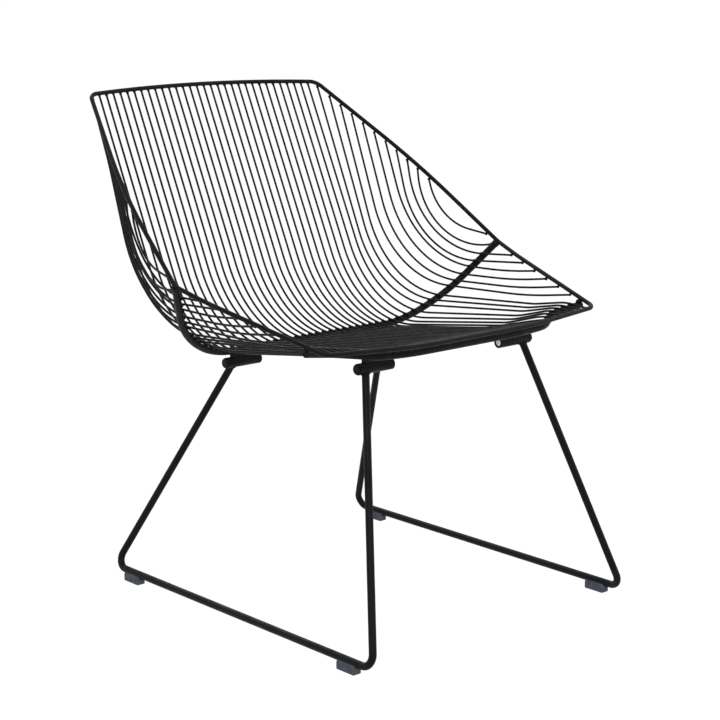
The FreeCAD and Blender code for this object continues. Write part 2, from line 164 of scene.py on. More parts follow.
@dataclass(frozen=True)
class Finish:
    """A surface with broad tone variation, patchy gloss and a fine relief.

    Attributes:
        name: What the surface is and how it was made.
        dark: Colour of the darker patches.
        light: Colour of the lighter patches.
        patch_mm: Width of those patches.
        gloss_mm: Width of the patches of differing gloss.
        roughness: Lowest and highest roughness.
        relief_mm: Width of one bump of the relief.
        relief_depth_mm: Height of the relief.
        metallic: One for bare metal, zero for anything else.
        ior: Index of refraction, kept at its default on metal.
        specular: Strength of the mirror reflection, a half for a plain smooth surface.
    """

    name: str
    dark: str
    light: str
    patch_mm: float
    gloss_mm: float
    roughness: tuple[float, float]
    relief_mm: float
    relief_depth_mm: float
    metallic: float = 0.0
    ior: float = 1.5
    specular: float = 0.5

    def material(self) -> bpy.types.Material:
        """Build the node material.

        Three noises on Object coordinates, each with a scale of one over a real size in
        metres, drive the colour, the roughness and the height.

        Returns:
            The material.
        """
        material = empty_material(self.name)
        tree = material.node_tree
        place = add_node(tree, "ShaderNodeTexCoord").outputs["Object"]
        patches = add_node(
            tree, "ShaderNodeTexNoise",
            {"Scale": 1 / (self.patch_mm * MM), "Detail": 3.0}, {"Vector": place})
        tone = add_node(
            tree, "ShaderNodeValToRGB", links={"Fac": patches.outputs["Fac"]})
        tone.color_ramp.elements[0].position = TONE_BAND[0]
        tone.color_ramp.elements[0].color = linear(self.dark)
        tone.color_ramp.elements[1].position = TONE_BAND[1]
        tone.color_ramp.elements[1].color = linear(self.light)
        gloss = add_node(
            tree, "ShaderNodeTexNoise",
            {"Scale": 1 / (self.gloss_mm * MM), "Detail": 4.0}, {"Vector": place})
        low, high = self.roughness
        rough = add_node(
            tree, "ShaderNodeMapRange",
            {"From Min": GLOSS_BAND[0], "From Max": GLOSS_BAND[1],
             "To Min": low, "To Max": high},
            {"Value": gloss.outputs["Fac"]})
        relief = add_node(
            tree, "ShaderNodeTexNoise",
            {"Scale": 1 / (self.relief_mm * MM), "Detail": 2.0, "Roughness": 0.45},
            {"Vector": place})
        bump = add_node(
            tree, "ShaderNodeBump",
            {"Strength": 1.0, "Distance": self.relief_depth_mm * MM},
            {"Height": relief.outputs["Fac"]})
        shader = add_node(
            tree, "ShaderNodeBsdfPrincipled",
            {"Metallic": self.metallic, "IOR": self.ior, "Specular IOR Level": self.specular},
            {"Base Color": tone.outputs["Color"], "Roughness": rough.outputs["Result"],
             "Normal": bump.outputs["Normal"]})
        add_node(tree, "ShaderNodeOutputMaterial", links={"Surface": shader.outputs["BSDF"]})
        return material


# Polyester powder fused on the rod: a satin black skin with orange peel about 1 mm wide.
# The peel is drawn 2.6 mm wide, because a finer one can't show at this distance. Its bumps
# shade one another, so the surroundings are mirrored more weakly than on a smooth skin.
POWDER_COAT = Finish(
    "satin_black_powder_coat", "#0b0b0c", "#121213", 45.0, 14.0, (0.38, 0.54), 2.6, 0.05,
    specular=0.1)
# Powder pools over the ripples of a weld, so it is a little smoother and darker there.
POOLED_POWDER = Finish(
    "powder_coat_over_weld", "#09090a", "#0f0f10", 6.0, 5.0, (0.34, 0.46), 1.8, 0.06,
    specular=0.1)
# Bright electroplated zinc on a turned bolt head: pale grey, softly mirrored.
ZINC_PLATE = Finish(
    "bright_zinc_plate", "#dcdcda", "#ececea", 5.0, 3.0, (0.24, 0.36), 1.2, 0.02,
    metallic=1.0)
# Injection-moulded polyethylene plug: black with a fine spark-eroded grain.
MOULDED_PLUG = Finish(
    "moulded_polyethylene", "#0a0a0b", "#101011", 12.0, 6.0, (0.46, 0.58), 1.6, 0.05,
    ior=1.51, specular=0.1)
# Moulded rubber with a little bloom: navy grey, dull, faintly pitted.
GLIDE_RUBBER = Finish(
    "moulded_glide_rubber", "#2b3240", "#434754", 9.0, 7.0, (0.55, 0.74), 1.6, 0.08,
    ior=1.52)


# Mesh tools


def unit(vector: Array) -> Array:
    """Scale vectors along the last axis to length one."""
    return vector / np.linalg.norm(vector, axis=-1, keepdims=True)


def across(axis: Array) -> tuple[Array, Array]:
    """Two unit vectors square to an axis, so that first x second = axis.

    Args:
        axis: Unit vector.

    Returns:
        The first and the second vector.
    """
    helper = np.array([1.0, 0.0, 0.0]) if abs(axis[0]) < 0.8 else np.array([0.0, 0.0, 1.0])
    first = unit(np.cross(helper, axis))
    return first, np.cross(axis, first)


def angles(count: int) -> Array:
    """Evenly spaced angles of a full turn, without the last."""
    return np.arange(count) * (2 * np.pi / count)


@dataclass
class Shells:
    """Several closed shells gathered into one mesh.

    Attributes:
        points: Vertex arrays, one per shell.
        faces: Vertex numbers of every face.
        count: Number of vertices so far.
    """

    points: list[Array] = field(default_factory=list)
    faces: list[list[int]] = field(default_factory=list)
    count: int = 0

    def add(self, rings: Array, closed: bool = False) -> None:
        """Add the skin over a row of rings.

        Quad (i, j) joins ring i to ring i + 1 and point j to point j + 1. Rings that run
        counter-clockwise about the direction of travel give faces that point outwards.

        Args:
            rings: Array of rings x points x 3.
            closed: True where the last ring joins the first; otherwise both ends get a cap.
        """
        count, sides, _ = rings.shape
        index = np.arange(count * sides).reshape(count, sides) + self.count
        here = index if closed else index[:-1]
        ahead = np.roll(index, -1, axis=0) if closed else index[1:]
        quads = np.stack(
            [here, np.roll(here, -1, axis=1), np.roll(ahead, -1, axis=1), ahead], axis=-1)
        self.faces += quads.reshape(-1, 4).tolist()
        if not closed:
            self.faces += [index[0, ::-1].tolist(), index[-1].tolist()]
        self.points.append(rings.reshape(-1, 3))
        self.count += count * sides

    def piece(self, name: str, slot: Slot, material: bpy.types.Material) -> bpy.types.Object:
        """Make the object, dress it and let it ride on the chair.

        Args:
            name: Name of the piece.
            slot: Slot of the record that it belongs to; not used.
            material: Its finish.

        Returns:
            The object.
        """
        mesh = bpy.data.meshes.new(name)
        mesh.from_pydata(np.concatenate(self.points).tolist(), [], self.faces)
        mesh.validate()
        mesh.shade_smooth()
        mesh.materials.append(material)
        piece = bpy.data.objects.new(name, mesh)
        bpy.context.scene.collection.objects.link(piece)
        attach(piece, "root")
        log.info("%s: %d vertices", name, self.count)
        return piece


def lathe(profile: Array, centre: Array, axis: Array, sides: int) -> Array:
    """Rings of a surface of revolution.

    Point (i, j) = centre + along_i * axis + radius_i * (cos angle_j * u + sin angle_j * v).

    Args:
        profile: Rows of distance along the axis and radius.
        centre: Point that the distances start from.
        axis: Unit vector.
        sides: Points in a ring.

    Returns:
        Rings x points x 3.
    """
    u, v = across(axis)
    turn = angles(sides)
    spoke = np.cos(turn)[:, None] * u + np.sin(turn)[:, None] * v
    along = profile[:, 0][:, None, None] * axis
    return centre + along + profile[:, 1][:, None, None] * spoke


def rounded_path(points: Array, radii: Iterable[float], step: float) -> Array:
    """Points along straight runs that are joined by tangent arcs.

    At a corner with half angle h between its runs, an arc of radius R starts R / tan h
    before it and its centre lies R / sin h from it on the bisector.

    Args:
        points: Corner points, two ends included.
        radii: Bend radius at each inner corner.
        step: Distance between the points of the path.

    Returns:
        Points x 3.
    """
    runs = [points[0]]
    for corner, before, after, radius in zip(points[1:-1], points[:-2], points[2:], radii):
        back, ahead = unit(before - corner), unit(after - corner)
        half = math.acos(float(back @ ahead)) / 2
        reach = radius / math.tan(half)
        centre = corner + unit(back + ahead) * (radius / math.sin(half))
        count = max(3, int(radius * (math.pi - 2 * half) / step))
        share = np.linspace(0.0, 1.0, count)[:, None]
        chord = corner + back * reach * (1 - share) + ahead * reach * share
        runs += list(centre + unit(chord - centre) * radius)
    runs.append(points[-1])
    corners = np.array(runs)
    lengths = np.linalg.norm(np.diff(corners, axis=0), axis=1)
    travelled = np.concatenate([[0.0], np.cumsum(lengths)])
    stations = np.arange(0.0, travelled[-1], step)
    return np.stack([np.interp(stations, travelled, corners[:, k]) for k in range(3)], axis=-1)


def node_mesh(name: str) -> tuple[Array, Array]:
    """Vertices and triangles of a CAD node.

    Args:
        name: Name of the node.

    Returns:
        Vertices x 3 in metres, and triangles x 3 vertex numbers.
    """
    mesh = frame["nodes"][name].data
    points = np.empty(len(mesh.vertices) * 3)
    mesh.vertices.foreach_get("co", points)
    mesh.calc_loop_triangles()
    triangles = np.empty(len(mesh.loop_triangles) * 3, dtype=np.int64)
    mesh.loop_triangles.foreach_get("vertices", triangles)
    return points.reshape(-1, 3), triangles.reshape(-1, 3)


def surface_of(points: Array, triangles: Array) -> BVHTree:
    """Search tree over a triangle mesh."""
    return BVHTree.FromPolygons(points.tolist(), triangles.tolist())


# Wires


@dataclass
class WireEnd:
    """Flat end of a wire.

    Attributes:
        centre: Middle of the end face.
        outward: Unit vector along the wire, out of the end.
    """

    centre: Array
    outward: Array


@dataclass
class Wire:
    """One wire of the bucket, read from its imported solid.

    Attributes:
        points: Vertices of its mesh.
        triangles: Its triangles.
        diameter: Wire diameter.
        end_reach: Reach of an end face from its furthest vertex, in diameters.
    """

    points: Array
    triangles: Array
    diameter: float = 3.3 * MM
    end_reach: float = 1.02

    def end(self, height: Array) -> WireEnd:
        """Find the end face that lies furthest along a direction.

        The triangles of a straight wire's side are long, so those that lie within a wire
        diameter of the furthest vertex make up the flat end.

        Args:
            height: Direction to look in.

        Returns:
            The end.
        """
        corners = self.points[self.triangles]
        vertices = corners.reshape(-1, 3)
        tip = vertices[np.argmax(vertices @ height)]
        reach = self.end_reach * self.diameter
        near = np.linalg.norm(corners - tip, axis=-1).max(axis=1) < reach
        face = corners[near]
        normal = np.cross(face[:, 1] - face[:, 0], face[:, 2] - face[:, 0]).sum(axis=0)
        low, high = face.reshape(-1, 3).min(axis=0), face.reshape(-1, 3).max(axis=0)
        return WireEnd((low + high) / 2, unit(normal))


class Bucket:
    """The wires of seat and back, as a set of single wires."""

    def __init__(self) -> None:
        """Split every wire node into its left and its right wire."""
        self.wires: list[Wire] = []
        for name in sorted(frame["nodes"]):
            if not name.startswith("wire_"):
                continue
            points, triangles = node_mesh(name)
            middle_x = points[triangles].mean(axis=1)[:, 0]
            if name == "wire_middle":
                self.wires.append(Wire(points, triangles))
                continue
            for side in Side:
                self.wires.append(Wire(points, triangles[middle_x * side.value > 0]))

    def front_ends(self) -> list[WireEnd]:
        """End of every wire at the front or the lower side of the rim."""
        return [wire.end(TO_FRONT) for wire in self.wires]

    def upper_ends(self) -> list[WireEnd]:
        """End of every wire at the top or the upper side of the rim."""
        return [wire.end(TO_TOP) for wire in self.wires]


# Welds


@dataclass
class WireWelds:
    """Fillet of weld metal round each wire end, where it meets the rim.

    Attributes:
        profile_mm: Distance from the end face, towards the rim, and radius of the fillet.
        sides: Points round a fillet.
        unevenness: Share by which the fillets differ in size.
        seed: Start of the random row that makes them differ.
    """

    profile_mm: tuple[tuple[float, float], ...] = (
        (-3.4, 1.55), (-2.2, 1.8), (-1.0, 2.1), (0.1, 2.4), (1.0, 2.35), (1.7, 1.8), (2.1, 0.9))
    sides: int = 11
    unevenness: float = 0.12
    seed: int = 7

    def build(self, ends: list[WireEnd], material: bpy.types.Material) -> bpy.types.Object:
        """Make one fillet per wire end.

        Each is the profile turned about the wire; its radii past the wire's own are
        scaled by a random share.

        Args:
            ends: Ends of the wires.
            material: Finish of the welds.

        Returns:
            The object.
        """
        random = np.random.default_rng(self.seed)
        shells = Shells()
        for end in ends:
            profile = np.array(self.profile_mm) * MM
            profile[1:, 1] *= 1 + self.unevenness * random.uniform(-1.0, 1.0)
            shells.add(lathe(profile, end.centre, end.outward, self.sides))
        return shells.piece("rim_wire_welds", Slot.STEEL, material)


@dataclass
class RodEnds:
    """Welds where the ends of the rear cross rod butt against the rim.

    Attributes:
        tip_mm: Point of the rim's axis that the left end runs up to, drawing places.
        from_mm: Point of the rod's axis that this end comes from.
        start_mm: Distance from the tip at which the weld begins.
        profile_mm: Distance on from there and radius of the weld.
        sides: Points round a weld.
    """

    tip_mm: tuple[float, float, float]
    from_mm: tuple[float, float, float]
    start_mm: float = 9.0
    profile_mm: tuple[tuple[float, float], ...] = (
        (0.0, 5.42), (0.8, 5.75), (2.4, 6.2), (4.2, 6.3), (5.8, 5.9), (7.4, 4.9), (8.6, 3.7))
    sides: int = 28

    def build(self, material: bpy.types.Material) -> bpy.types.Object:
        """Make the weld of the left and of the right end.

        Args:
            material: Finish of the welds.

        Returns:
            The object.
        """
        shells = Shells()
        tip, origin = np.array(self.tip_mm), np.array(self.from_mm)
        along = unit(tip - origin)
        for side in Side:
            start = placed(tip - along * self.start_mm, side)
            profile = np.array(self.profile_mm) * MM
            shells.add(lathe(profile, start, along * side.mirror, self.sides))
        return shells.piece("rear_rod_end_welds", Slot.STEEL, material)


@dataclass
class Contact:
    """Place where a wire lies on a rod.

    Attributes:
        centre: Point on the rod's surface under the wire.
        up: Unit vector from the rod to the wire.
        along: Unit vector along the wire.
    """

    centre: Array
    up: Array
    along: Array


def lap_contacts(centre_mm: tuple[float, float, float],
                 from_mm: tuple[float, float, float]) -> list[Contact]:
    """Places where both ends of the front cross rod lap under the rim.

    Args:
        centre_mm: Middle of the left weld, drawing places.
        from_mm: Point that the weld runs away from.

    Returns:
        A left and a right contact.
    """
    centre = np.array(centre_mm)
    along = unit(centre - np.array(from_mm))
    up = CrossingWelds.square(np.array([0.0, 0.0, 1.0]), along)
    return [Contact(placed(centre, side), up * side.mirror, along * side.mirror)
            for side in Side]


@dataclass
class RodLine:
    """Centre line of a cross rod, from its left end over the middle to its right end.

    Attributes:
        corners_mm: Corner points of the left half, drawing places.
        radii_mm: Bend radius at each of them but the first.
        radius_mm: Radius of the rod.
        step_mm: Distance between the points of the line.
    """

    corners_mm: tuple[tuple[float, float, float], ...]
    radii_mm: tuple[float, ...]
    radius_mm: float = 5.5
    step_mm: float = 1.0

    def points(self) -> Array:
        """Points of the whole line in metres."""
        half = np.array(self.corners_mm)
        whole = np.vstack([half, half[::-1] * Side.RIGHT.mirror])
        radii = self.radii_mm + self.radii_mm[::-1]
        return placed(rounded_path(whole, radii, self.step_mm))


@dataclass
class CrossingWelds:
    """Nuggets of resistance welds where the wires cross the two cross rods.

    Attributes:
        half_length_mm: Half the nugget's length along the wire.
        half_width_mm: Half its width across the wire.
        half_height_mm: Half its height.
        rings: Rings along a nugget.
        sides: Points in a ring.
        last_ring: Angle of the last ring from the middle, in radians.
        search_from_mm: Distance behind a wire's front end at which the search starts.
        search_step_mm: Distance between the places that are tried.
        reach_mm: Distance at which the search ends.
        touch_mm: Largest gap that a weld bridges.
    """

    half_length_mm: float = 4.4
    half_width_mm: float = 2.9
    half_height_mm: float = 1.7
    rings: int = 7
    sides: int = 10
    last_ring: float = 1.25
    search_from_mm: float = 8.0
    search_step_mm: float = 0.5
    reach_mm: float = 60.0
    touch_mm: float = 6.0

    def nugget(self, contact: Contact) -> Array:
        """Rings of an ellipsoid about a contact.

        Ring i lies at half_length * sin t_i along the wire and is an ellipse of width and
        height scaled by cos t_i, with t_i from near -90 to near 90 degrees.

        Args:
            contact: Place of the weld.

        Returns:
            Rings x points x 3.
        """
        side = np.cross(contact.up, contact.along)
        rise = np.linspace(-self.last_ring, self.last_ring, self.rings)
        turn = angles(self.sides)
        spoke = (np.cos(turn)[:, None] * side * self.half_width_mm
                 + np.sin(turn)[:, None] * np.cross(contact.along, side) * self.half_height_mm)
        middle = contact.centre + np.sin(rise)[:, None] * contact.along * self.half_length_mm * MM
        return middle[:, None, :] + np.cos(rise)[:, None, None] * spoke * MM

    def at_front(self, ends: list[WireEnd]) -> list[Contact]:
        """Contacts on the front cross rod, sought along the straight ends of the wires.

        Args:
            ends: Front ends of the wires.

        Returns:
            One contact per wire that comes near enough to the rod.
        """
        rod = surface_of(*node_mesh("front_cross_rod"))
        tried = np.arange(self.search_from_mm, self.reach_mm, self.search_step_mm)
        contacts = []
        for end in ends:
            hits = [rod.find_nearest(Vector(end.centre - end.outward * travelled * MM))
                    for travelled in tried]
            spot, normal, _, gap = min(hits, key=lambda hit: hit[3])
            if gap < self.touch_mm * MM:
                up = np.array(normal)
                contacts.append(
                    Contact(np.array(spot), unit(up), self.square(end.outward, up)))
        return contacts

    def at_rear(self, wires: list[Wire], rod: RodLine) -> list[Contact]:
        """Contacts on the rear cross rod, sought along the rod's centre line.

        Args:
            wires: All wires.
            rod: The rod.

        Returns:
            One contact per wire that lies on the rod.
        """
        contacts = []
        rod_line, rod_radius = rod.points(), rod.radius_mm * MM
        for wire in wires:
            surface = surface_of(wire.points, wire.triangles)
            hits = [surface.find_nearest(Vector(point)) for point in rod_line]
            gaps = np.array([hit[3] for hit in hits])
            best = int(np.argmin(gaps))
            if gaps[best] > rod_radius + self.touch_mm * MM:
                continue
            centre = rod_line[best]
            up = unit(np.array(hits[best][0]) - centre)
            rod_along = unit(rod_line[min(best + 1, len(rod_line) - 1)]
                             - rod_line[max(best - 1, 0)])
            along = self.square(np.cross(up, rod_along), up)
            contacts.append(Contact(centre + up * rod_radius, up, along))
        return contacts

    @staticmethod
    def square(vector: Array, axis: Array) -> Array:
        """Unit vector nearest to a vector among those square to an axis."""
        return unit(vector - axis * float(vector @ axis))

    def build(self, contacts: list[Contact], name: str,
              material: bpy.types.Material) -> bpy.types.Object:
        """Make one nugget per contact.

        Args:
            contacts: Places of the welds.
            name: Name of the piece.
            material: Finish of the welds.

        Returns:
            The object.
        """
        shells = Shells()
        for contact in contacts:
            shells.add(self.nugget(contact))
        return shells.piece(name, Slot.STEEL, material)


@dataclass
class Bead:
    """A rippled fillet weld laid along a line.

    Attributes:
        radius_mm: Mean radius of the bead.
        ripple_mm: Length of one ripple.
        ripple_share: Height of the ripples as a share of the radius.
        step_mm: Distance between rings.
        end_share: Radius at an open end as a share of the bead's.
        sides: Points in a ring.
    """

    radius_mm: float = 1.5
    ripple_mm: float = 2.4
    ripple_share: float = 0.14
    step_mm: float = 0.6
    end_share: float = 0.35
    sides: int = 10

    def rings(self, line: Array, closed: bool) -> Array:
        """Rings square to a line, whose radius swells and shrinks along it.

        Radius = mean * (1 + share * cos(2 pi * travelled / ripple)).

        Args:
            line: Points x 3.
            closed: True where the line ends where it starts.

        Returns:
            Rings x points x 3.
        """
        loop = np.vstack([line, line[:1]]) if closed else line
        lengths = np.linalg.norm(np.diff(loop, axis=0), axis=1)
        travelled = np.concatenate([[0.0], np.cumsum(lengths)])
        count = max(4, int(travelled[-1] / (self.step_mm * MM)))
        stations = np.linspace(0.0, travelled[-1], count, endpoint=not closed)
        middle = np.stack([np.interp(stations, travelled, loop[:, k]) for k in range(3)], -1)
        if closed:
            along = unit(np.roll(middle, -1, axis=0) - np.roll(middle, 1, axis=0))
        else:
            along = unit(np.gradient(middle, axis=0))
        spread = middle - middle.mean(axis=0)
        plane = np.linalg.svd(spread)[2][2] if closed else np.array([0.0, 0.0, 1.0])
        first = unit(np.cross(plane, along))
        second = np.cross(along, first)
        turn = angles(self.sides)
        spoke = (np.cos(turn)[None, :, None] * first[:, None, :]
                 + np.sin(turn)[None, :, None] * second[:, None, :])
        ripples = round(travelled[-1] / (self.ripple_mm * MM))
        phase = 2 * np.pi * ripples * stations / travelled[-1]
        radius = self.radius_mm * MM * (1 + self.ripple_share * np.cos(phase))
        if not closed:
            radius[[0, -1]] *= self.end_share
        return middle[:, None, :] + radius[:, None, None] * spoke


@dataclass
class Bracket:
    """Sleeve that bolts a leg top to the seat; only the sizes that the welds need.

    Attributes:
        name: Front or rear.
        leg_top_mm: Point where the axes of leg and sleeve meet, left side, drawing places.
        floor_corner_mm: Point where the straight of the leg meets the floor rod.
        sleeve_radius_mm: Radius of the sleeve.
        leg_radius_mm: Radius of the leg.
        past_leg_mm: Length of sleeve outside the leg.
        sleeve_length_mm: Length of the sleeve.
        saddle_from_end_mm: Distance of the saddle from the sleeve's inner end.
        saddle_length_mm: Length of the saddle.
        saddle_width_mm: Width of the saddle.
        seam_points: Points round the seam of the leg.
        seam_inset_mm: Length at each end of a saddle that its beads leave bare.
    """

    name: str
    leg_top_mm: tuple[float, float, float]
    floor_corner_mm: tuple[float, float, float]
    sleeve_radius_mm: float = 8.25
    leg_radius_mm: float = 5.5
    past_leg_mm: float = 15.0
    sleeve_length_mm: float = 64.0
    saddle_from_end_mm: float = 4.0
    saddle_length_mm: float = 48.0
    saddle_width_mm: float = 10.0
    seam_points: int = 72
    seam_inset_mm: float = 1.0

    def leg_seam(self) -> Array:
        """Closed line on which the leg's surface meets the sleeve's, left side, drawing mm.

        A line of the leg's surface starts at the leg's axis plus a spoke. It meets the
        sleeve where its distance from the sleeve's axis, squared, is the radius squared:
        the larger root of a t^2 + b t + c = 0, with t along the leg.

        Returns:
            Points x 3.
        """
        top = np.array(self.leg_top_mm)
        down = unit(np.array(self.floor_corner_mm) - top)
        u, v = across(down)
        turn = angles(self.seam_points)
        spoke = self.leg_radius_mm * (np.cos(turn)[:, None] * u + np.sin(turn)[:, None] * v)
        flat = np.array([0.0, 1.0, 1.0])
        a = float((down * flat) @ down)
        b = 2 * (spoke * flat) @ down
        c = (spoke * spoke * flat).sum(axis=1) - self.sleeve_radius_mm ** 2
        t = (-b + np.sqrt(b * b - 4 * a * c)) / (2 * a)
        return top + spoke + t[:, None] * down

    def saddle_seams(self) -> list[Array]:
        """Lines along which the sides of the saddle meet the sleeve, left side, drawing mm.

        Their height over the sleeve's axis is the root of radius^2 - half width^2.

        Returns:
            A front and a rear line.
        """
        top = np.array(self.leg_top_mm)
        start = top[0] + self.past_leg_mm - self.sleeve_length_mm + self.saddle_from_end_mm
        half = self.saddle_width_mm / 2
        height = math.sqrt(self.sleeve_radius_mm ** 2 - half ** 2)
        inset = self.seam_inset_mm
        stretch = np.array([start + inset, start + self.saddle_length_mm - inset])
        return [
            np.stack([stretch, np.full(2, top[1] + sign * half), np.full(2, top[2] + height)], -1)
            for sign in (-1.0, 1.0)
        ]


@dataclass
class SledWelds:
    """Arc welds that join the legs and the saddles to their sleeves.

    Attributes:
        bead: The bead that is laid.
        saddle_bead: The smaller bead along the saddles.
    """

    bead: Bead = field(default_factory=Bead)
    saddle_bead: Bead = field(default_factory=lambda: Bead(radius_mm=1.1, ripple_mm=2.2))

    def build(self, brackets: list[Bracket], material: bpy.types.Material) -> None:
        """Lay the beads of every bracket on both sides.

        Args:
            brackets: Front and rear bracket.
            material: Finish of the welds.
        """
        for bracket in brackets:
            shells = Shells()
            for side in Side:
                seam = placed(bracket.leg_seam(), side)
                shells.add(self.bead.rings(seam, True), closed=True)
                for line in bracket.saddle_seams():
                    shells.add(self.saddle_bead.rings(placed(line, side), False))
            shells.piece(f"{bracket.name}_bracket_welds", Slot.STEEL, material)


# Rubber glides


@dataclass
class Glides:
    """Moulded glides pushed up under the floor rods, in place of their plain solids.

    Attributes:
        rod_radius_mm: Radius of the floor rod, plus the fit of the glide.
        rod_height_mm: Height of the rod's axis.
        half_width_mm: Half the glide's width.
        shoulder_mm: Height at which the sides turn in towards the rod.
        lip_mm: Height of the lips that hug the rod.
        end_round_mm: Rounding of the ends, in plan and underneath.
        draw_share: How much of that rounding the ends are drawn in by.
        lip_gap: Angle at which the groove starts above the lip, in radians.
        groove_points: Points of half the groove.
        end_rings: Rings over the rounding of an end.
    """

    rod_radius_mm: float = 5.62
    rod_height_mm: float = 15.8
    half_width_mm: float = 7.25
    shoulder_mm: float = 9.8
    lip_mm: float = 13.9
    end_round_mm: float = 2.4
    draw_share: float = 0.8
    lip_gap: float = 0.03
    groove_points: int = 9
    end_rings: int = 6

    def section(self) -> Array:
        """Cross-section of the glide, as across and up from the middle of its sole.

        Half of it runs from the sole round a soft edge, up the side, in over the shoulder
        to the lip and down the groove, which is an arc about the rod; the other half is
        its mirror image.

        Returns:
            Points x 2, counter-clockwise to an eye that looks along +Y.
        """
        wide = self.half_width_mm
        outer = np.array([
            (0.0, 0.0), (wide - 1.6, 0.0), (wide - 0.7, 0.25), (wide - 0.2, 0.8), (wide, 1.7),
            (wide, self.shoulder_mm), (wide - 0.25, self.shoulder_mm + 0.7),
            (wide - 1.55, self.lip_mm - 0.5), (wide - 1.9, self.lip_mm - 0.1),
            (wide - 2.2, self.lip_mm)])
        low = math.asin((self.rod_height_mm - self.lip_mm) / self.rod_radius_mm)
        turn = np.linspace(low + self.lip_gap, math.pi / 2, self.groove_points)
        groove = np.stack([self.rod_radius_mm * np.cos(turn),
                           self.rod_height_mm - self.rod_radius_mm * np.sin(turn)], -1)
        half = np.vstack([outer, groove])
        mirror = half[1:-1][::-1] * np.array([-1.0, 1.0])
        return np.vstack([half, mirror])

    def rings(self, low: Array, high: Array) -> Array:
        """Carry the section along the rod, drawn in at both ends.

        At a distance d from an end shorter than the rounding r, the outline is drawn in
        by a share of r - sqrt(r^2 - (r - d)^2): its width shrinks and its sole lifts by
        that much. Each ring is turned round, to run counter-clockwise about +Y.

        Args:
            low: Lowest corner of the plain solid.
            high: Its highest corner.

        Returns:
            Rings x points x 3.
        """
        section = self.section()
        rounding = self.end_round_mm
        length = (high[1] - low[1]) / MM
        curve = rounding * (1 - np.cos(np.linspace(0.0, np.pi / 2, self.end_rings)))
        ends = np.concatenate([curve, length - curve[::-1]])
        gap = np.minimum(ends, length - ends)
        short = np.clip(rounding - gap, 0.0, None)
        draw = self.draw_share * (rounding - np.sqrt(rounding ** 2 - short ** 2))
        wide = 1 - draw[:, None] / self.half_width_mm
        lift = draw[:, None] * np.clip(1 - section[:, 1] / self.shoulder_mm, 0.0, 1.0)
        x = (low[0] + high[0]) / 2 + section[:, 0] * wide * MM
        z = (section[:, 1] + lift) * MM
        y = np.broadcast_to((low[1] + ends * MM)[:, None], x.shape)
        return np.stack([x, y, z], axis=-1)[:, ::-1, :]

    def build(self, material: bpy.types.Material) -> None:
        """Make the four glides.

        Args:
            material: Finish of the rubber.
        """
        for name in sorted(frame["nodes"]):
            if not name.startswith("foot_"):
                continue
            low, high = (np.array(corner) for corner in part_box(name))
            shells = Shells()
            shells.add(self.rings(low, high))
            piece = shells.piece(name.replace("foot", "glide"), Slot.RUBBER, material)
            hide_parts(name)


# Studio


@dataclass(frozen=True)
class Lamp:
    """A square soft lamp that shines at the chair.

    Attributes:
        name: Name of the lamp.
        place: Where it stands, in metres.
        size: Length of its side in metres.
        power: Its power in watts.
    """

    name: str
    place: tuple[float, float, float]
    size: float
    power: float


